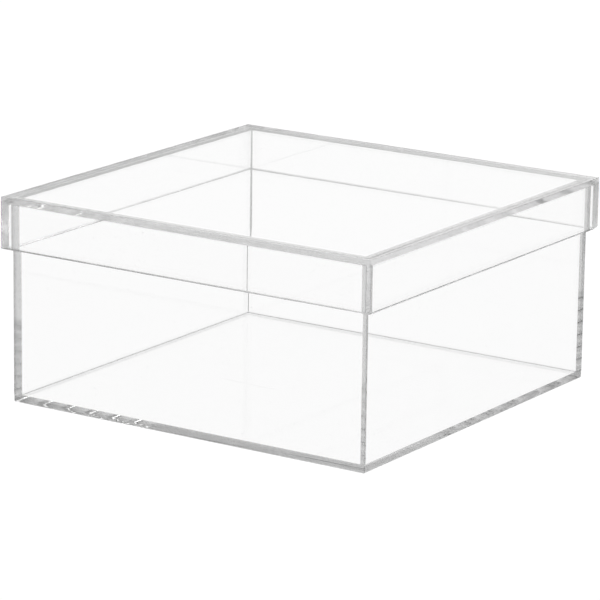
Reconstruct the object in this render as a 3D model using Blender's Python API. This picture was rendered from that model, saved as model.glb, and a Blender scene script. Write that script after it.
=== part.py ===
"""Square box of clear acrylic sheet with a loose lid that lifts straight off.

The base is a floor sheet with four walls cemented on top of it. The lid is a top sheet with four
skirt strips cemented under it. The skirt hangs outside the walls, and the top sheet rests on the
walls' upper edges.

The origin is the middle of the base's underside. X runs left to right along the front, Y runs
front to back and Z up.
"""

import bmesh
import bpy
from mathutils import Vector

# Driving dimensions, in metres
BASE_WIDTH = 0.2012  # outside of the base, left to right
BASE_DEPTH = 0.2012  # outside of the base, front to back
BASE_HEIGHT = 0.0983  # underside of the floor to the upper edge of the walls
FLOOR_THICKNESS = 0.0034
WALL_THICKNESS = 0.0034
TOP_THICKNESS = 0.0034
SKIRT_THICKNESS = 0.0034
SKIRT_HEIGHT = 0.0219  # each skirt strip, from its cemented edge to its free edge
SKIRT_PLAY = 0.00075  # clearance between a skirt strip and the wall inside it
SEAT_GAP = 0.0003  # between the walls' upper edges and the top sheet that rests on them
CEMENT_GAP = 0.0003  # between two sheets at a cemented seam
ARRIS = 0.0003  # easing of each exposed sharp edge
ARRIS_STEPS = 2
ARRIS_ROUNDNESS = 0.5  # profile of the easing, where 0.5 is a circular arc

# Finish of the sheet
ACRYLIC_COLOUR = (0.96, 0.97, 0.97, 1.0)
ACRYLIC_ROUGHNESS = 0.03
ACRYLIC_IOR = 1.49
ACRYLIC_METALLIC = 0.0

LEFT = Vector((-1, 0, 0))
RIGHT = Vector((1, 0, 0))
FRONT = Vector((0, -1, 0))
BACK = Vector((0, 1, 0))
DOWN = Vector((0, 0, -1))
UP = Vector((0, 0, 1))
SIDES = (LEFT, RIGHT, FRONT, BACK)
SAME_DIRECTION = 0.99  # least dot product of two unit vectors that count as one direction


def clear_scene():
    for old in list(bpy.data.objects):
        bpy.data.objects.remove(old)


def group_empty(name, location):
    """An empty that carries the pieces of one assembly."""
    empty = bpy.data.objects.new(name, None)
    empty.location = location
    bpy.context.scene.collection.objects.link(empty)
    return empty


def clear_acrylic(name):
    """Polished clear sheet: a transmissive plastic with a trace of grey."""
    material = bpy.data.materials.new(name)
    material.use_nodes = True
    shader = material.node_tree.nodes["Principled BSDF"]
    shader.inputs["Base Color"].default_value = ACRYLIC_COLOUR
    shader.inputs["Roughness"].default_value = ACRYLIC_ROUGHNESS
    shader.inputs["Metallic"].default_value = ACRYLIC_METALLIC
    shader.inputs["IOR"].default_value = ACRYLIC_IOR
    shader.inputs["Transmission Weight"].default_value = 1.0
    return material


def faces_towards(edge, direction):
    return any(face.normal.dot(direction) > SAME_DIRECTION for face in edge.link_faces)


def ease_arrises(mesh, arrises):
    """Bevels the edges that lie between the two faces of each named pair of directions."""
    edges = [
        edge
        for edge in mesh.edges
        if any(faces_towards(edge, one) and faces_towards(edge, other) for one, other in arrises)
    ]
    bmesh.ops.bevel(
        mesh, geom=edges, offset=ARRIS, segments=ARRIS_STEPS, profile=ARRIS_ROUNDNESS, affect="EDGES"
    )


def cut_sheet(name, size, centre, arrises, parent):
    """One rectangular sheet of the given size, with its exposed arrises eased."""
    solid = bmesh.new()
    bmesh.ops.create_cube(solid, size=1.0)
    bmesh.ops.scale(solid, vec=size, verts=solid.verts)
    solid.normal_update()
    ease_arrises(solid, arrises)
    mesh = bpy.data.meshes.new(name)
    solid.to_mesh(mesh)
    solid.free()
    mesh.materials.append(clear_acrylic(name))
    sheet = bpy.data.objects.new(name, mesh)
    sheet.parent = parent
    sheet.location = centre
    bpy.context.scene.collection.objects.link(sheet)


def flat_sheet(name, width, depth, thickness, low, exposed_face, parent):
    """A horizontal sheet, eased round its exposed face and down its four corners."""
    arrises = [(exposed_face, side) for side in SIDES]
    arrises += [(across, along) for across in (LEFT, RIGHT) for along in (FRONT, BACK)]
    cut_sheet(name, Vector((width, depth, thickness)), Vector((0, 0, low + thickness / 2)), arrises, parent)


def ring_of_sheets(prefix, width, depth, thickness, low, height, free_edge, parent):
    """Four upright sheets round a rectangle.

    Those in front and behind are full width, and the two at the sides fit between them.
    """
    middle = low + height / 2
    to_front = (depth - thickness) / 2
    to_side = (width - thickness) / 2
    between = depth - 2 * (thickness + CEMENT_GAP)
    for word, outward in (("front", FRONT), ("back", BACK)):
        arrises = [(free_edge, side) for side in SIDES]
        arrises += [(outward, LEFT), (outward, RIGHT)]
        centre = outward * to_front + UP * middle
        cut_sheet(f"{prefix}_{word}", Vector((width, thickness, height)), centre, arrises, parent)
    for word, outward in (("left", LEFT), ("right", RIGHT)):
        arrises = [(free_edge, LEFT), (free_edge, RIGHT)]
        centre = outward * to_side + UP * middle
        cut_sheet(f"{prefix}_{word}", Vector((thickness, between, height)), centre, arrises, parent)


def make_base():
    base = group_empty("base", Vector((0, 0, 0)))
    flat_sheet("base_floor", BASE_WIDTH, BASE_DEPTH, FLOOR_THICKNESS, 0.0, DOWN, base)
    wall_low = FLOOR_THICKNESS + CEMENT_GAP
    wall_height = BASE_HEIGHT - wall_low
    ring_of_sheets("base_wall", BASE_WIDTH, BASE_DEPTH, WALL_THICKNESS, wall_low, wall_height, UP, base)


def make_lid():
    """The lid's empty is on the line that it lifts along, at the height where its top sheet rests."""
    overhang = 2 * (SKIRT_PLAY + SKIRT_THICKNESS)
    width = BASE_WIDTH + overhang
    depth = BASE_DEPTH + overhang
    lid = group_empty("lid", UP * (BASE_HEIGHT + SEAT_GAP))
    flat_sheet("lid_top", width, depth, TOP_THICKNESS, 0.0, UP, lid)
    skirt_low = -(CEMENT_GAP + SKIRT_HEIGHT)
    ring_of_sheets("lid_skirt", width, depth, SKIRT_THICKNESS, skirt_low, SKIRT_HEIGHT, DOWN, lid)


def main():
    clear_scene()
    make_base()
    make_lid()


main()
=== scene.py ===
"""Looks of the clear acrylic box with a lift-off lid.

Each cut sheet of the box is one closed surface, worked out from the box of the solid that it stands
for. Where two sheets are cemented, they meet face to face and the seam lets light through as the
solid sheet does. The grey of the edges is the long way that light has to go inside the sheet, as in
the real material, and the haze on the cut faces, which is partly painted shade.
"""

import math
from collections import namedtuple
from functools import partial

import bpy
import numpy as np
from mathutils import Matrix, Vector


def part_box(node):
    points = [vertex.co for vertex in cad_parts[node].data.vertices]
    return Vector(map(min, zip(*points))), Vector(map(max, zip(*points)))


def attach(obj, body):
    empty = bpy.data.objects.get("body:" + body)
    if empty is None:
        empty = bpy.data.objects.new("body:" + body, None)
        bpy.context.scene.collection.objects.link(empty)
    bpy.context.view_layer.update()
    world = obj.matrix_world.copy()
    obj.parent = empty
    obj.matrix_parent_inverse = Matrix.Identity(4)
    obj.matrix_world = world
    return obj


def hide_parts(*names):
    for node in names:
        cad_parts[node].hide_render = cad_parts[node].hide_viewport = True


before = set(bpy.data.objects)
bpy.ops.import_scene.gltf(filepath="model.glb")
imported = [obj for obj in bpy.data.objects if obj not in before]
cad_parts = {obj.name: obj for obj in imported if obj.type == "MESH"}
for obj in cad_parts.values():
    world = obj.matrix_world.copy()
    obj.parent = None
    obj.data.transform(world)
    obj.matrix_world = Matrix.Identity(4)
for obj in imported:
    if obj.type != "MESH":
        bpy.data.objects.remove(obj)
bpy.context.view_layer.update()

LID_LOW, LID_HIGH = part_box("lid_top")
LID_WIDTH = LID_HIGH.x - LID_LOW.x
FLOOR_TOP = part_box("base_floor")[1].z

# The photograph's camera, fitted to the box's outline and rim lines, with the lid's width as the
# unit of length
CAMERA_AZIMUTH = math.radians(33.310)
CAMERA_ELEVATION = math.radians(14.593)
CAMERA_ROLL = math.radians(0.796)
CAMERA_DISTANCE = 8.8476
CAMERA_ASIDE = -0.0072
CAMERA_ABOVE = -0.2619
CAMERA_LENS = 229.3  # in millimetres, as is the sensor
SENSOR_WIDTH = 36.0
CLIP_NEAR = 0.1  # in metres
CLIP_FAR = 100.0

# Arrises and cut faces of the sheets, in metres
EASED = 0.00028  # how far a free arris is worn back from the sheet's edge
NEAR_EASED = 0.00040  # the same for the lower edge of the skirt in front
RIGHT_EASED = 0.00018  # the same on the right
FAR_EASED = 0.00070  # the same on the left and at the back
LID_EASED = 0.00012  # the same for the lid's top face
END_EASED = 0.00006  # the same for the upright arrises, which are nearly sharp
SQUARE = 0.00002  # an arris that is cemented, and so still as sharp as it was cut
SHARPEST_WORN = 0.00004  # an arris with more than this counts as worn
EASED_SLANT = 1.8  # how much further the wear reaches down the cut face than in from the edge
EASED_DEPTH = 0.0005  # the most that it reaches down the cut face
CORNER_ROUND = 1.5  # the radius of an outline's corner, as a multiple of the largest wear beside it
ROLL = 0.00002  # how far a polished cut face rolls back on its way to a free arris
FLOOR_ROLL = 0.00013  # the same for the floor, whose underside was buffed longer
ROLL_START = 0.55  # where the roll starts, as a share of the thickness from the free arris
QUARTER_TURN = math.pi / 2

# Points of the surfaces
ARRIS_STEPS = 20  # over an arris, and round a corner of the outline
CUT_FACE_STEPS = 8  # over the cut face between its arrises
BEAD_STEPS = 2  # how many of these steps the bead of cement beside a seam covers
EDGE_STEP = 0.002  # spacing of points along a cut edge, in metres

# Seams, in metres. Cemented sheets meet face to face, with an overlap so that no ray slips between
# them.
WELD_OVERLAP = 0.000005
SEAT_FILM = 0.00005  # air left between the walls' upper edges and the lid's top sheet
ON_PLANE = 0.00001  # how near a plane a point counts as on it
BUBBLE_CELLS = 400.0  # bubbles in the cement, to the metre
BUBBLE_SIZE = 0.06  # as a share of a cell

# The cement that shows along the inner corners at the left and the back: the share of the light
# that it takes, and its width, which is more along the upright corner. There it grows from the
# swell's start on, by the growth for each metre away from the flat sheet, up to the swell's width
# less the taper for each metre.
BASE_CEMENT = 1.0
BASE_FILLET = {
    "Fillet width": 0.00020,
    "Upright extra": 0.00007,
    "Swell start": 0.034,
    "Swell growth": 0.08,
    "Swell width": 0.00124,
    "Swell taper": 0.0055,
}
LID_CEMENT = 0.85
LID_FILLET = {"Fillet width": 0.0005}
UPRIGHT_START = 0.001  # how far from the flat sheet the upright corner starts
FILLET_FADE = 0.6  # where the fillet starts to fade out, as a share of its width

# The clear cast sheet
IOR = 1.49
BASE_ABSORPTION = 2.1  # per metre of sheet
LID_ABSORPTION = 0.7
POLISH_ROUGHNESS = 0.01  # of the cut faces
HAZE_ROUGHNESS = 0.15  # what a full haze adds to it
FILM_ROUGHNESS = 0.2  # of the haze's own film
GLANCING_POWER = 2.0  # how fast the haze thins out towards grazing angles

# The pattern in the haze: streaks drawn out along the edge, and slow clouds
STREAK_SCALES = (60.0, 1400.0, 1.0)  # to the metre, along the edge and up the cut face
STREAK_DETAIL = 3.0
STREAK_STRENGTH = 0.8
CLOUD_SCALE = 90.0  # to the metre
CLOUD_DETAIL = 2.0
CLOUD_STRENGTH = 0.35

# Marks of handling on the flat faces, with the share of the light that each takes from outside
HAIRLINE_TURNS = ((0.3, 0.2, 0.5), (-0.2, 0.4, -0.9))
HAIRLINE_SCALES = (12.0, 1500.0, 1500.0)  # to the metre, along a hairline and across it
HAIRLINE_DETAIL = 1.0
HAIRLINE_LEVELS = (0.74, 0.80)  # of the noise, where a hairline starts and where it is full
HAIRLINE_FILM = 0.05
SPECK_CELLS = 250.0  # to the metre
SPECK_SIZES = (0.05, 0.08)  # of a speck's solid middle and its soft rim, as shares of a cell
SPECK_FILM = 0.12
SMUDGE_SCALE = 22.0  # to the metre
SMUDGE_DETAIL = 4.0
SMUDGE_LEVELS = (0.55, 0.80)
SMUDGE_FILM = 0.003
SMUDGE_ROUGHNESS = 0.02

# One side of a sheet's outline at one of its ends: the radii of its arrises at the low face and the
# high one, the share of the light that the haze takes on its cut face and along its two arrises,
# the share that dust on the arrises takes from outside, whether it is free or cemented, and how far
# its polished cut face rolls back. The shares of the haze and the dust are partly painted shade.
Side = namedtuple(
    "Side",
    "low_radius high_radius film low_film high_film low_dust high_dust free roll",
    defaults=(0.0, 0.0, 0.0, 0.0, 0.0, 1, 0.0),
)
CEMENTED = (Side(SQUARE, SQUARE, free=0),) * 2

# The haze of the floor and the lid's top, on the cut face and on the free arris, each at the side's
# left or front end and at its other end. It is partly painted shade.
CLEAN = (0.0, 0.0)
FLOOR_HAZE_AND_SHADE = {
    "front": ((0.28, 0.10), CLEAN),
    "right": ((0.08, 0.08), CLEAN),
    "back": ((0.216, 0.12), CLEAN),
    "left": ((0.32, 0.12), (0.0, 0.15)),
}
LID_HAZE_AND_SHADE = {
    "front": ((0.22, 0.16), CLEAN),
    "right": ((0.09, 0.10), CLEAN),
    "back": ((0.10, 0.10), CLEAN),
    "left": ((0.08, 0.08), CLEAN),
}
FLOOR_BEAD = 0.10  # of the bead of cement beside the seam
LID_BEAD = 0.12


def worn_edge(film, arris, dust=CLEAN, eased=EASED):
    """A free long edge: what the haze takes on the cut face and on the arrises, and what the dust
    on the arrises takes, each at both ends. Both are partly painted shade."""
    ends = zip(film, arris, dust)
    return [Side(eased, eased, face, arris_haze_and_shade, arris_haze_and_shade, arris_dust_and_shade, arris_dust_and_shade, roll=ROLL) for face, arris_haze_and_shade, arris_dust_and_shade in ends]


# The walls' upper edges, and the skirt's lower ones. Their haze and dust are partly painted shade.
RIMS = {
    "front": worn_edge((0.45, 0.45), (0.6, 0.6)),
    "back": worn_edge((0.85, 0.6), (0.95, 0.7), (0.7, 0.35)),
    "left": worn_edge((0.85, 0.85), (0.95, 0.95), (0.75, 0.75)),
    "right": worn_edge((0.45, 0.45), (0.6, 0.6)),
}
SKIRT_EDGES = {
    "front": worn_edge((0.55, 0.20), (0.50, 0.24), eased=NEAR_EASED),
    "back": worn_edge((0.45, 0.20), (0.45, 0.10), (1.0, 0.30), FAR_EASED),
    "left": worn_edge((0.62, 0.62), (0.20, 0.45), (0.34, 1.0), FAR_EASED),
    "right": worn_edge((0.30, 0.30), (1.0, 1.0), eased=RIGHT_EASED),
}
# The haze of the upright sheets' free ends, the left end and the right end, each at its lower end
# and its upper one. It is partly painted shade.
WALL_ENDS = {"front": ((0.33, 0.33), CLEAN), "back": (CLEAN, (0.04, 0.50))}
SKIRT_ENDS = {"front": ((0.06, 0.06), CLEAN), "back": (CLEAN, CLEAN)}
# The axis and the sign of each upright sheet's outer face
OUTWARD = {"front": (1, -1), "back": (1, 1), "left": (0, -1), "right": (0, 1)}

# Studio light. Past the box the white is a little brighter than through it, and the room above the
# white backdrop shows only in light that was turned inside the sheet.
SEEN_DIRECTLY = 1.03
SEEN_THROUGH = 0.98
ROOM = 0.85
ROOM_RISE = (0.34, 0.42)  # heights on the unit sphere between which the backdrop gives way to the room
LAMP = 5.0  # a round lamp in the room
LAMP_DIRECTION = Vector((0.12, 0.78, 0.61))
LAMP_SPREAD = 0.993  # the least dot product with its direction of a ray that meets it
FLOOR_REACH = 20.0  # how far the studio's white floor goes from the middle
FLOOR_DROP = 0.0003  # how far it lies below the box
FIRST_BOUNCE = 0.5  # a count between no reflection and one
BOUNCES = 48
SEAMS_CROSSED = 32


def add_camera():
    """A long lens aimed from the photograph's side, at a place given from the middle of the lid's top."""
    back = Vector(
        (
            math.sin(CAMERA_AZIMUTH) * math.cos(CAMERA_ELEVATION),
            -math.cos(CAMERA_AZIMUTH) * math.cos(CAMERA_ELEVATION),
            math.sin(CAMERA_ELEVATION),
        )
    )
    level = Vector((math.cos(CAMERA_AZIMUTH), math.sin(CAMERA_AZIMUTH), 0))
    upright = back.cross(level)
    right = math.cos(CAMERA_ROLL) * level + math.sin(CAMERA_ROLL) * upright
    up = math.cos(CAMERA_ROLL) * upright - math.sin(CAMERA_ROLL) * level
    lid_middle = Vector(((LID_LOW.x + LID_HIGH.x) / 2, (LID_LOW.y + LID_HIGH.y) / 2, LID_HIGH.z))
    offset = back * CAMERA_DISTANCE + level * CAMERA_ASIDE + upright * CAMERA_ABOVE
    data = bpy.data.cameras.new("camera")
    data.lens = CAMERA_LENS
    data.sensor_width = SENSOR_WIDTH
    data.clip_start = CLIP_NEAR
    data.clip_end = CLIP_FAR
    camera = bpy.data.objects.new("camera", data)
    turn = Matrix((right, up, back)).transposed().to_4x4()
    camera.matrix_world = Matrix.Translation(lid_middle + offset * LID_WIDTH) @ turn
    bpy.context.scene.collection.objects.link(camera)
    bpy.context.scene.camera = camera


def corner_radius(one, other):
    """Two free sides meet in an eased corner. A corner at a cemented side stays square."""
    if one.free and other.free:
        return CORNER_ROUND * max(one.low_radius, one.high_radius, other.low_radius, other.high_radius)
    return CORNER_ROUND * SQUARE


def between(one, other, share):
    """What lies between two sides' values, at each share of the way."""
    return (1 - share) * np.array(one, dtype=float) + share * np.array(other, dtype=float)


def sheet_outline(corner_low, corner_high, sides):
    """The outline as points and outward directions, and the values of a side at each point.

    It runs counterclockwise from the low corner: evenly along each side, and round a quarter circle
    at each corner, whose radius is taken off both sides. The values change evenly from one end of a
    side to the other, and over the corner from one side to the next. The last two sides are run
    along from their other end.
    """
    corners = np.array(
        [
            corner_low,
            [corner_high[0], corner_low[1]],
            corner_high,
            [corner_low[0], corner_high[1]],
        ]
    )
    ways = np.array([[1.0, 0.0], [0.0, 1.0], [-1.0, 0.0], [0.0, -1.0]])
    outward = np.array([[0.0, -1.0], [1.0, 0.0], [0.0, 1.0], [-1.0, 0.0]])
    sides = [side if number < 2 else side[::-1] for number, side in enumerate(sides)]
    points, normals, values = [], [], []
    for number, (start, end) in enumerate(sides):
        following = (number + 1) % 4
        start_round = corner_radius(sides[number - 1][1], start)
        end_round = corner_radius(end, sides[following][0])
        length = abs(ways[number] @ (corner_high - corner_low))
        count = max(2, int(length / EDGE_STEP)) if start.free else 2
        run = np.linspace(start_round, length - end_round, count)[:, None]
        points.append(corners[number] + run * ways[number])
        normals.append(np.repeat(outward[number][None], count, axis=0))
        values.append(between(start, end, run / length))
        turn = np.linspace(0, QUARTER_TURN, ARRIS_STEPS + 1)[1:-1, None]
        facing = np.cos(turn) * outward[number] + np.sin(turn) * outward[following]
        centre = corners[following] - (outward[number] + outward[following]) * end_round
        points.append(centre + facing * end_round)
        normals.append(facing)
        values.append(between(end, sides[following][0], turn / QUARTER_TURN))
    return np.concatenate(points), np.concatenate(normals), Side(*np.concatenate(values).T)


def arris_depth(radii):
    """How far an arris reaches down the cut face. A cemented one reaches as far as it goes in."""
    return np.where(radii > SHARPEST_WORN, np.minimum(EASED_SLANT * radii, EASED_DEPTH), radii)


def rolled_back(radii, roll, distance):
    """How far the cut face rolls back beside a worn arris, at a distance from it that is a share of
    the thickness: the roll times the square of what is left of the way from the roll's start."""
    return np.where(radii > SHARPEST_WORN, roll, 0.0) * np.clip(1 - distance / ROLL_START, 0, 1) ** 2


def edge_profile(low_end, high_end, edge):
    """The insets and the heights over the cut edge, at each point of the outline.

    Over the low arris the inset is the radius times one less the sine of a quarter turn, and the
    height is the arris's depth times one less its cosine. The high arris mirrors it, and between
    the two the height rises evenly. The roll of the cut face adds to the inset.
    """
    quarter = np.linspace(0, QUARTER_TURN, ARRIS_STEPS + 1)[:, None]
    low_inset = edge.low_radius * (1 - np.sin(quarter))
    low_height = low_end + arris_depth(edge.low_radius) * (1 - np.cos(quarter))
    high_inset = edge.high_radius * (1 - np.cos(quarter))
    high_height = high_end - arris_depth(edge.high_radius) * (1 - np.sin(quarter))
    share = np.linspace(0, 1, CUT_FACE_STEPS + 1)[1:-1, None]
    mid_height = (1 - share) * low_height[-1] + share * high_height[0]
    inset = np.concatenate([low_inset, np.zeros_like(mid_height), high_inset])
    height = np.concatenate([low_height, mid_height, high_height])
    level = (height - low_end) / (high_end - low_end)
    inset = inset + rolled_back(edge.low_radius, edge.roll, level)
    inset = inset + rolled_back(edge.high_radius, edge.roll, 1 - level)
    return inset, height


def edge_finish_and_shade(edge):
    """What the material reads over the cut edge: whether it is free, its haze and its dust.

    The haze is that of the arris on both arrises, also under the bead of cement beside a cemented
    one, and that of the cut face between them. The dust is laid out in the same way, and on the cut
    face it is the lesser of the two. Both the haze and the dust are partly painted shade.
    """
    rows = 2 * ARRIS_STEPS + CUT_FACE_STEPS
    haze_and_shade = np.repeat(edge.film[None], rows, axis=0)
    haze_and_shade[:ARRIS_STEPS] = edge.low_film
    haze_and_shade[-ARRIS_STEPS:] = edge.high_film
    cemented_low = edge.low_radius < SHARPEST_WORN
    cemented_high = edge.high_radius < SHARPEST_WORN
    haze_and_shade[ARRIS_STEPS : ARRIS_STEPS + BEAD_STEPS, cemented_low] = edge.low_film[cemented_low]
    haze_and_shade[-ARRIS_STEPS - BEAD_STEPS : -ARRIS_STEPS, cemented_high] = edge.high_film[cemented_high]
    dust = np.repeat(np.minimum(edge.low_dust, edge.high_dust)[None], rows, axis=0)
    dust[:ARRIS_STEPS] = edge.low_dust
    dust[-ARRIS_STEPS:] = edge.high_dust
    return {"cut_edge": np.tile(edge.free, (rows, 1)), "haze_and_shade": haze_and_shade, "dust": dust}


def sheet_surface(low, high, thin, sides):
    """A rectangular sheet as one surface of two parameters, with a flat face at each end.

    The first parameter runs round the sheet's outline, counterclockwise seen from the high side of
    the thin axis, and the second over the cut edge from the low face to the high one. A point is
    the outline's point moved inwards by the profile's inset and along the thin axis to its height.

    Each side is a pair, what it is at its left, front or lower end and at its other end.
    """
    along, across = (thin + 1) % 3, (thin + 2) % 3
    corner_low = np.array([low[along], low[across]])
    corner_high = np.array([high[along], high[across]])
    points, normals, edge = sheet_outline(corner_low, corner_high, sides)
    inset, height = edge_profile(low[thin], high[thin], edge)
    spots = np.zeros((*height.shape, 3))
    spots[..., [along, across]] = points[None] - normals[None] * inset[..., None]
    spots[..., thin] = height
    travel = np.concatenate([[0], np.cumsum(np.linalg.norm(np.diff(points, axis=0), axis=1))])
    return spots, travel, edge_finish_and_shade(edge)


def sheet_uv(spots, travel, thin):
    """The UV map: for each quad its way along the outline and its height, and for each flat face
    its place in its plane."""
    along, across = (thin + 1) % 3, (thin + 2) % 3
    round_trip = travel[-1] + np.linalg.norm(spots[0, -1] - spots[0, 0])
    height = spots[..., thin]
    next_height = np.roll(height, -1, axis=1)
    quad_uv = np.zeros((height.shape[0] - 1, height.shape[1], 4, 2))
    quad_uv[..., 0, 0] = quad_uv[..., 3, 0] = travel
    quad_uv[..., 1, 0] = quad_uv[..., 2, 0] = np.append(travel[1:], round_trip)
    quad_uv[..., 0, 1] = height[:-1]
    quad_uv[..., 1, 1] = next_height[:-1]
    quad_uv[..., 2, 1] = next_height[1:]
    quad_uv[..., 3, 1] = height[1:]
    flat = spots[..., [along, across]]
    return np.concatenate([quad_uv.reshape(-1, 2), flat[0, ::-1], flat[-1]])


def sheet_piece(name, low, high, thin, sides):
    """Puts a sheet's surface into a mesh: a ring of quads round the cut edge, and a flat face on
    each side, where the attributes are zero."""
    spots, travel, finish_and_shade = sheet_surface(low, high, thin, sides)
    rows, columns = spots.shape[:2]
    index = np.arange(rows * columns).reshape(rows, columns)
    beyond = np.roll(index, -1, axis=1)
    quads = np.stack([index[:-1], beyond[:-1], beyond[1:], index[1:]], axis=-1).reshape(-1, 4)
    faces = quads.tolist() + [index[0, ::-1].tolist(), index[-1].tolist()]
    mesh = bpy.data.meshes.new(name)
    mesh.from_pydata(spots.reshape(-1, 3), [], faces)
    uv = sheet_uv(spots, travel, thin)
    mesh.uv_layers.new(name="sheet").data.foreach_set("uv", uv.ravel())
    for word, values in finish_and_shade.items():
        values = np.append(values.ravel(), [0.0, 0.0])
        mesh.attributes.new(word, "FLOAT", "FACE").data.foreach_set("value", values)
    piece = bpy.data.objects.new(name, mesh)
    bpy.context.scene.collection.objects.link(piece)
    return piece


def finish_piece(piece, node, body, material):
    """Gives a sheet its material, and puts it in its solid's place on its body."""
    piece.data.materials.append(material)
    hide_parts(node)
    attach(piece, body)
    return piece


def flat_side(film, arris, free_face_is_high):
    """A side of the floor or the lid's top: worn at the free face, and square at the inner one, with
    a bead of cement beside the seam."""
    if free_face_is_high:
        return Side(SQUARE, LID_EASED, film, LID_BEAD, arris, roll=ROLL)
    return Side(EASED, SQUARE, film, arris, FLOOR_BEAD, roll=FLOOR_ROLL)


def flat_sheet(name, node, body, free_face_is_high, films, material):
    """The floor or the lid's top. Its four cut edges are free, and it is cemented all round its
    inner face."""
    low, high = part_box(node)
    sides = [[flat_side(*ends, free_face_is_high) for ends in zip(*pair)] for pair in films.values()]
    return finish_piece(sheet_piece(name, list(low), list(high), 2, sides), node, body, material)


def free_end(film, outer_is_high):
    """An end of the sheet in front or behind: square inside, where the side sheet meets it, and
    nearly sharp and clean outside."""
    if outer_is_high:
        return Side(SQUARE, END_EASED, film, film, 0.0)
    return Side(END_EASED, SQUARE, film, 0.0, film)


def upright_sheet(name, node, body, outward, cement_level, free_level, long_edge, end_films, material):
    """A wall or a skirt strip. It is cemented to the flat sheet along one long edge, and its other
    one is free.

    outward is the axis and the sign of its outer face. The sheets in front and behind are full
    width and have free ends. The side sheets run between them and are cemented at both ends. The
    skirt's outer arris gets none of the dust, which is partly painted shade.
    """
    low, high = (list(corner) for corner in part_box(node))
    thin, sign = outward
    is_wall = cement_level < free_level
    if is_wall:
        low[2], high[2] = cement_level - WELD_OVERLAP, free_level
    else:
        low[2], high[2] = free_level, cement_level + WELD_OVERLAP
        bare_outer_arris = {"high_dust": 0.0} if sign > 0 else {"low_dust": 0.0}
        long_edge = [side._replace(**bare_outer_arris) for side in long_edge]
    if thin == 0:
        inner_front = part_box(node.rsplit("_", 1)[0] + "_front")[1].y
        low[1], high[1] = inner_front - WELD_OVERLAP, -inner_front + WELD_OVERLAP
        ends = [CEMENTED, CEMENTED]
    else:
        ends = [[free_end(film, sign > 0) for film in films] for films in end_films]
    top = long_edge if is_wall else CEMENTED
    bottom = CEMENTED if is_wall else long_edge
    # For a sheet that is thin in Y the sides are X low, Z high, X high and Z low, and for one that
    # is thin in X they are Z low, Y high, Z high and Y low.
    sides = [ends[0], top, ends[1], bottom] if thin == 1 else [bottom, ends[1], top, ends[0]]
    return finish_piece(sheet_piece(name, low, high, thin, sides), node, body, material)


def math_node(tree, operation, *values):
    """A math node whose inputs are numbers or other nodes' outputs. Gives back its output."""
    node = tree.nodes.new("ShaderNodeMath")
    node.operation = operation
    for socket, value in zip(node.inputs, values):
        if isinstance(value, (int, float)):
            socket.default_value = value
        else:
            tree.links.new(value, socket)
    return node.outputs[0]


def noise_node(tree, scale, detail, vector):
    """A noise from zero to one at the place that the vector gives."""
    node = tree.nodes.new("ShaderNodeTexNoise")
    node.inputs["Scale"].default_value = scale
    node.inputs["Detail"].default_value = detail
    tree.links.new(vector, node.inputs["Vector"])
    return node.outputs["Fac"]


def cell_distance(tree, scale, vector):
    """How far a point is from its cell's own point, as a share of a cell."""
    node = tree.nodes.new("ShaderNodeTexVoronoi")
    node.inputs["Scale"].default_value = scale
    tree.links.new(vector, node.inputs["Vector"])
    return node.outputs["Distance"]


def stretched(tree, vector, scales, turn=(0.0, 0.0, 0.0)):
    """The vector turned and scaled along its three axes."""
    node = tree.nodes.new("ShaderNodeMapping")
    node.inputs["Rotation"].default_value = turn
    node.inputs["Scale"].default_value = scales
    tree.links.new(vector, node.inputs["Vector"])
    return node.outputs[0]


def ramp_node(tree, value, span, start, end, interpolation="LINEAR"):
    """Goes from start to end while the value goes over the span, and stays there beyond it."""
    node = tree.nodes.new("ShaderNodeMapRange")
    node.interpolation_type = interpolation
    node.inputs["From Min"].default_value, node.inputs["From Max"].default_value = span
    node.inputs["To Min"].default_value = start
    node.inputs["To Max"].default_value = end
    tree.links.new(value, node.inputs["Value"])
    return node.outputs["Result"]


def attribute_node(tree, name):
    """The value that the piece's faces have in one of its attributes."""
    node = tree.nodes.new("ShaderNodeAttribute")
    node.attribute_name = name
    return node.outputs["Fac"]


def new_group(name, input_names, output_names):
    """An empty shader group. Gives back its tree and its outputs to fill."""
    tree = bpy.data.node_groups.new(name, "ShaderNodeTree")
    for word in input_names:
        tree.interface.new_socket(word, in_out="INPUT", socket_type="NodeSocketFloat")
    for word in output_names:
        tree.interface.new_socket(word, in_out="OUTPUT", socket_type="NodeSocketFloat")
    return tree, tree.nodes.new("NodeGroupOutput").inputs


def place_group(tree, group, values):
    """Puts a group in a material with the values of its inputs. Gives back its outputs."""
    node = tree.nodes.new("ShaderNodeGroup")
    node.node_tree = group
    for word, value in values.items():
        node.inputs[word].default_value = value
    return node.outputs


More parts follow.
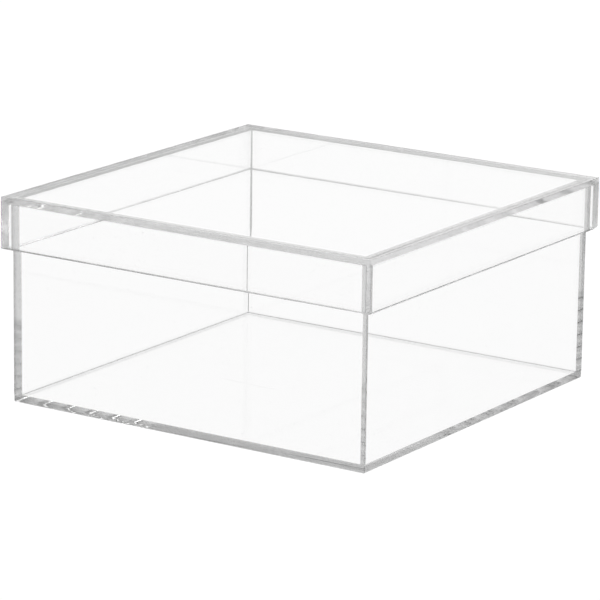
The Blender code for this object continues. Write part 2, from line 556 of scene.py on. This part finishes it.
def seam_group():
    """Where two sheets are cemented, and where the cement shows along the inner corners.

    A spot is on the flat seam when its height is the seam's and it lies outside the inner
    rectangle. It is on an upright seam when its depth is the inner rectangle's and it lies beyond
    that rectangle's width. Bubbles, each round its cell's own point, break up both. The fillet is
    where the second smallest of the distances to the left, back and level planes is less than its
    width, on the inner side.
    """
    names = ("Level", "Inner half width", "Inner half depth", "Inner side", *BASE_FILLET)
    tree, outputs = new_group("cemented_seam", names, ("Seam", "Fillet"))
    inputs = tree.nodes.new("NodeGroupInput").outputs
    maths = partial(math_node, tree)
    place = tree.nodes.new("ShaderNodeTexCoord").outputs["Object"]
    apart = tree.nodes.new("ShaderNodeSeparateXYZ")
    tree.links.new(place, apart.inputs[0])
    x, y, z = apart.outputs
    half_width, half_depth, level = inputs["Inner half width"], inputs["Inner half depth"], inputs["Level"]
    behind = maths("ABSOLUTE", y)
    past_width = maths("GREATER_THAN", maths("ABSOLUTE", x), half_width)
    past_depth = maths("GREATER_THAN", behind, half_depth)
    at_level = maths("COMPARE", z, level, ON_PLANE)
    at_depth = maths("COMPARE", behind, half_depth, ON_PLANE)
    flat_seam = maths("MULTIPLY", maths("MAXIMUM", past_width, past_depth), at_level)
    upright_seam = maths("MULTIPLY", past_width, at_depth)
    seam = maths("MAXIMUM", flat_seam, upright_seam)
    sound = maths("GREATER_THAN", cell_distance(tree, BUBBLE_CELLS, place), BUBBLE_SIZE)
    tree.links.new(maths("MULTIPLY", seam, sound), outputs["Seam"])

    from_side = maths("ADD", x, half_width)
    from_back = maths("SUBTRACT", half_depth, y)
    from_level = maths("MULTIPLY", maths("SUBTRACT", z, level), inputs["Inner side"])
    least = maths("MINIMUM", maths("MINIMUM", from_side, from_back), from_level)
    most = maths("MAXIMUM", maths("MAXIMUM", from_side, from_back), from_level)
    total = maths("ADD", maths("ADD", from_side, from_back), from_level)
    middle = maths("SUBTRACT", maths("SUBTRACT", total, least), most)
    inside = maths("GREATER_THAN", least, -ON_PLANE)
    share = maths("DIVIDE", middle, fillet_width(tree, inputs, from_level))
    fade = ramp_node(tree, share, (FILLET_FADE, 1.0), 1.0, 0.0, "SMOOTHSTEP")
    tree.links.new(maths("MULTIPLY", fade, inside), outputs["Fillet"])
    return tree


def fillet_width(tree, inputs, from_level):
    """The fillet's width at a distance from the flat sheet: the larger of its even width, with the
    upright corner's extra, and the swell, which is the smaller of a rising and a falling line."""
    maths = partial(math_node, tree)
    away = maths("MAXIMUM", from_level, 0.0)
    past_start = maths("SUBTRACT", away, inputs["Swell start"])
    rising = maths("MULTIPLY_ADD", past_start, inputs["Swell growth"], inputs["Fillet width"])
    falling = maths("SUBTRACT", inputs["Swell width"], maths("MULTIPLY", away, inputs["Swell taper"]))
    swell = maths("MINIMUM", rising, falling)
    upright = maths("GREATER_THAN", away, UPRIGHT_START)
    even = maths("MULTIPLY_ADD", upright, inputs["Upright extra"], inputs["Fillet width"])
    return maths("MAXIMUM", swell, even)


def cut_edge_group():
    """The haze and the dust on the cut faces, partly what the saw and the polishing wheel left and
    partly painted shade, from the piece's own attributes for them.

    Both are thicker where slow clouds and streaks drawn out along the edge say so. The pattern is
    one plus each noise times its strength, with the noise spread from minus one to one.
    """
    names = ("Streaks", "Clouds", "Polish roughness", "Haze roughness")
    tree, outputs = new_group("cut_face_finish_and_shade", names, ("Film", "Dust", "Roughness"))
    inputs = tree.nodes.new("NodeGroupInput").outputs
    maths = partial(math_node, tree)
    place = tree.nodes.new("ShaderNodeTexCoord").outputs
    streaks = noise_node(tree, 1.0, STREAK_DETAIL, stretched(tree, place["UV"], STREAK_SCALES))
    clouds = noise_node(tree, CLOUD_SCALE, CLOUD_DETAIL, place["Object"])
    pattern = 1.0
    for noise, strength in ((streaks, inputs["Streaks"]), (clouds, inputs["Clouds"])):
        pattern = maths("MULTIPLY_ADD", maths("MULTIPLY_ADD", noise, 2.0, -1.0), strength, pattern)
    pattern = maths("MAXIMUM", pattern, 0.0)
    # The haze film here is partly painted shade.
    haze_and_shade = attribute_node(tree, "haze_and_shade")
    tree.links.new(maths("MINIMUM", maths("MULTIPLY", pattern, haze_and_shade), 1.0), outputs["Film"])
    # The dust on the arrises is partly painted shade.
    dust = maths("MULTIPLY", pattern, attribute_node(tree, "dust"))
    tree.links.new(maths("MINIMUM", dust, 1.0), outputs["Dust"])
    rough = maths("MULTIPLY", haze_and_shade, inputs["Haze roughness"])
    rough = maths("MULTIPLY_ADD", attribute_node(tree, "cut_edge"), inputs["Polish roughness"], rough)
    tree.links.new(rough, outputs["Roughness"])
    return tree


def face_marks_group():
    """What handling left on the flat faces: hairlines in two directions, specks of dust, and faint
    smudges.

    A hairline is where a noise drawn out along its direction passes a high level. A speck is round
    a cell's point, and the smudges are where a slow noise is high.
    """
    tree, outputs = new_group("face_marks", (), ("Film", "Roughness"))
    maths = partial(math_node, tree)
    place = tree.nodes.new("ShaderNodeTexCoord").outputs["Object"]
    flat = maths("SUBTRACT", 1.0, attribute_node(tree, "cut_edge"))
    film = 0.0
    for turn in HAIRLINE_TURNS:
        drawn_out = stretched(tree, place, HAIRLINE_SCALES, turn)
        noise = noise_node(tree, 1.0, HAIRLINE_DETAIL, drawn_out)
        film = maths("MAXIMUM", film, ramp_node(tree, noise, HAIRLINE_LEVELS, 0.0, HAIRLINE_FILM))
    specks = ramp_node(tree, cell_distance(tree, SPECK_CELLS, place), SPECK_SIZES, SPECK_FILM, 0.0)
    film = maths("MAXIMUM", film, specks)
    smudges = ramp_node(tree, noise_node(tree, SMUDGE_SCALE, SMUDGE_DETAIL, place), SMUDGE_LEVELS, 0.0, 1.0)
    film = maths("MULTIPLY_ADD", smudges, SMUDGE_FILM, film)
    tree.links.new(maths("MULTIPLY", film, flat), outputs["Film"])
    rough = maths("MULTIPLY", smudges, SMUDGE_ROUGHNESS)
    tree.links.new(maths("MULTIPLY", rough, flat), outputs["Roughness"])
    return tree


def clear_acrylic(name, groups, absorption, cement_film, seam_values):
    """Clear cast sheet: glass-like faces, a little absorption all through it, and seams that let
    light pass.

    The haze on the cut faces is a black film, partly painted shade, which thins out towards grazing
    angles, as it does on a matt surface. Dust on the arrises, also partly painted shade, and the marks
    on the flat faces dim the light from outside only, at any angle. So does the cement along the inner
    corners, which thins out like the haze and is left out of reflections.
    """
    seams, edges, wear = groups
    material = bpy.data.materials.new(name)
    material.use_nodes = True
    tree = material.node_tree
    maths = partial(math_node, tree)
    shader = tree.nodes["Principled BSDF"].inputs
    shader["Transmission Weight"].default_value = 1.0
    shader["IOR"].default_value = IOR
    shader["Base Color"].default_value = (1, 1, 1, 1)
    shader["Coat IOR"].default_value = 1.0
    shader["Coat Tint"].default_value = (0, 0, 0, 1)
    shader["Coat Roughness"].default_value = FILM_ROUGHNESS

    finish_and_shade_values = {
        "Streaks": STREAK_STRENGTH,
        "Clouds": CLOUD_STRENGTH,
        "Polish roughness": POLISH_ROUGHNESS,
        "Haze roughness": HAZE_ROUGHNESS,
    }
    finish_and_shade = place_group(tree, edges, finish_and_shade_values)
    seam = place_group(tree, seams, seam_values)
    marks = place_group(tree, wear, {})

    slant = tree.nodes.new("ShaderNodeLayerWeight")
    facing = maths("SUBTRACT", 1.0, maths("POWER", slant.outputs["Facing"], GLANCING_POWER))
    path = tree.nodes.new("ShaderNodeLightPath")
    direct = maths("LESS_THAN", path.outputs["Glossy Depth"], FIRST_BOUNCE)
    side = tree.nodes.new("ShaderNodeNewGeometry")
    outside = maths("SUBTRACT", 1.0, side.outputs["Backfacing"])
    # The haze film and the dust from outside are partly painted shade.
    film = maths("MULTIPLY", finish_and_shade["Film"], facing)
    cement = maths("MULTIPLY", maths("MULTIPLY", seam["Fillet"], cement_film), facing)
    cement = maths("MULTIPLY", cement, direct)
    loose_dirt_and_shade = maths("MAXIMUM", maths("MAXIMUM", finish_and_shade["Dust"], cement), marks["Film"])
    loose_dirt_and_shade = maths("MULTIPLY", loose_dirt_and_shade, outside)
    tree.links.new(maths("MAXIMUM", film, loose_dirt_and_shade), shader["Coat Weight"])
    tree.links.new(maths("ADD", finish_and_shade["Roughness"], marks["Roughness"]), shader["Roughness"])
    tree.links.new(maths("SUBTRACT", 1.0, seam["Seam"]), shader["Alpha"])

    volume = tree.nodes.new("ShaderNodeVolumeAbsorption")
    volume.inputs["Color"].default_value = (0, 0, 0, 1)
    volume.inputs["Density"].default_value = absorption
    tree.links.new(volume.outputs[0], tree.nodes["Material Output"].inputs["Volume"])
    return material


def seam_planes(level, inner_side, front_node, right_node):
    """The planes that the seams lie in: the flat seam's level, the side of it that is inside, and
    the inner faces of the sheet in front and the one on the right."""
    return {
        "Level": level,
        "Inner side": inner_side,
        "Inner half width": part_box(right_node)[0].x,
        "Inner half depth": -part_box(front_node)[1].y,
    }


def base_acrylic(groups):
    """The base's sheet, cemented together at the floor."""
    planes = seam_planes(FLOOR_TOP, 1, "base_wall_front", "base_wall_right")
    return clear_acrylic("base_acrylic", groups, BASE_ABSORPTION, BASE_CEMENT, planes | BASE_FILLET)


def lid_acrylic(groups):
    """The lid's sheet, cemented together under its top, and clearer than the base's."""
    planes = seam_planes(LID_LOW.z, -1, "lid_skirt_front", "lid_skirt_right")
    return clear_acrylic("lid_acrylic", groups, LID_ABSORPTION, LID_CEMENT, planes | LID_FILLET)


def wall(word, outward, material):
    """A wall of the base, from the floor up to just under the lid's top."""
    return upright_sheet(
        name=f"{word}_wall",
        node=f"base_wall_{word}",
        body="base",
        outward=outward,
        cement_level=FLOOR_TOP,
        free_level=LID_LOW.z - SEAT_FILM,
        long_edge=RIMS[word],
        end_films=WALL_ENDS.get(word),
        material=material,
    )


def skirt_strip(word, outward, material):
    """A strip of the lid's skirt, from the lid's top down to its own lower edge."""
    return upright_sheet(
        name=f"{word}_skirt",
        node=f"lid_skirt_{word}",
        body="lid",
        outward=outward,
        cement_level=LID_LOW.z,
        free_level=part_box("lid_skirt_front")[0].z,
        long_edge=SKIRT_EDGES[word],
        end_films=SKIRT_ENDS.get(word),
        material=material,
    )


def build_box():
    """The floor and the lid's top, and on each side a wall with the skirt strip over it."""
    groups = seam_group(), cut_edge_group(), face_marks_group()
    base_material = base_acrylic(groups)
    lid_material = lid_acrylic(groups)
    flat_sheet("floor_sheet", "base_floor", "base", False, FLOOR_HAZE_AND_SHADE, base_material)
    flat_sheet("lid_sheet", "lid_top", "lid", True, LID_HAZE_AND_SHADE, lid_material)
    for word, outward in OUTWARD.items():
        wall(word, outward, base_material)
        skirt_strip(word, outward, lid_material)


def seen_directly(tree):
    """The white of the studio: a little brighter past the box than through it."""
    path = tree.nodes.new("ShaderNodeLightPath")
    return ramp_node(tree, path.outputs["Is Camera Ray"], (0.0, 1.0), SEEN_THROUGH, SEEN_DIRECTLY)


def add_white_floor():
    """A white floor as large as the room, just below the box."""
    corners = [(x * FLOOR_REACH, y * FLOOR_REACH, 0) for x, y in ((-1, -1), (1, -1), (1, 1), (-1, 1))]
    mesh = bpy.data.meshes.new("studio_floor")
    mesh.from_pydata(corners, [], [(0, 1, 2, 3)])
    floor = bpy.data.objects.new("studio_floor", mesh)
    floor.location.z = -FLOOR_DROP
    bpy.context.scene.collection.objects.link(floor)
    white = bpy.data.materials.new("white_floor")
    white.use_nodes = True
    tree = white.node_tree
    tree.nodes.remove(tree.nodes["Principled BSDF"])
    glow = tree.nodes.new("ShaderNodeEmission")
    tree.links.new(seen_directly(tree), glow.inputs["Strength"])
    tree.links.new(glow.outputs[0], tree.nodes["Material Output"].inputs["Surface"])
    floor.data.materials.append(white)


def add_white_room():
    """A white backdrop all round. Light that was turned inside the sheet meets the darker room
    above it, with its round lamp."""
    world = bpy.data.worlds.new("studio")
    world.use_nodes = True
    tree = world.node_tree
    maths = partial(math_node, tree)
    background = tree.nodes["Background"].inputs
    background["Color"].default_value = (1, 1, 1, 1)
    direction = tree.nodes.new("ShaderNodeTexCoord").outputs["Generated"]
    apart = tree.nodes.new("ShaderNodeSeparateXYZ")
    tree.links.new(direction, apart.inputs[0])
    room = ramp_node(tree, apart.outputs["Z"], ROOM_RISE, SEEN_THROUGH, ROOM, "SMOOTHSTEP")
    towards = tree.nodes.new("ShaderNodeVectorMath")
    towards.operation = "DOT_PRODUCT"
    towards.inputs[1].default_value = LAMP_DIRECTION.normalized()
    tree.links.new(direction, towards.inputs[0])
    lamp = maths("GREATER_THAN", towards.outputs["Value"], LAMP_SPREAD)
    path = tree.nodes.new("ShaderNodeLightPath")
    level = tree.nodes.new("ShaderNodeMix")
    tree.links.new(maths("GREATER_THAN", path.outputs["Glossy Depth"], FIRST_BOUNCE), level.inputs["Factor"])
    tree.links.new(seen_directly(tree), level.inputs["A"])
    tree.links.new(maths("MULTIPLY_ADD", lamp, LAMP, room), level.inputs["B"])
    tree.links.new(level.outputs["Result"], background["Strength"])
    bpy.context.scene.world = world


def main():
    """Builds the camera, the box and the studio."""
    add_camera()
    build_box()
    add_white_floor()
    add_white_room()
    scene = bpy.context.scene
    scene.view_settings.view_transform = "Standard"
    scene.cycles.max_bounces = BOUNCES
    scene.cycles.glossy_bounces = BOUNCES
    scene.cycles.transmission_bounces = BOUNCES
    scene.cycles.transparent_max_bounces = SEAMS_CROSSED


main()
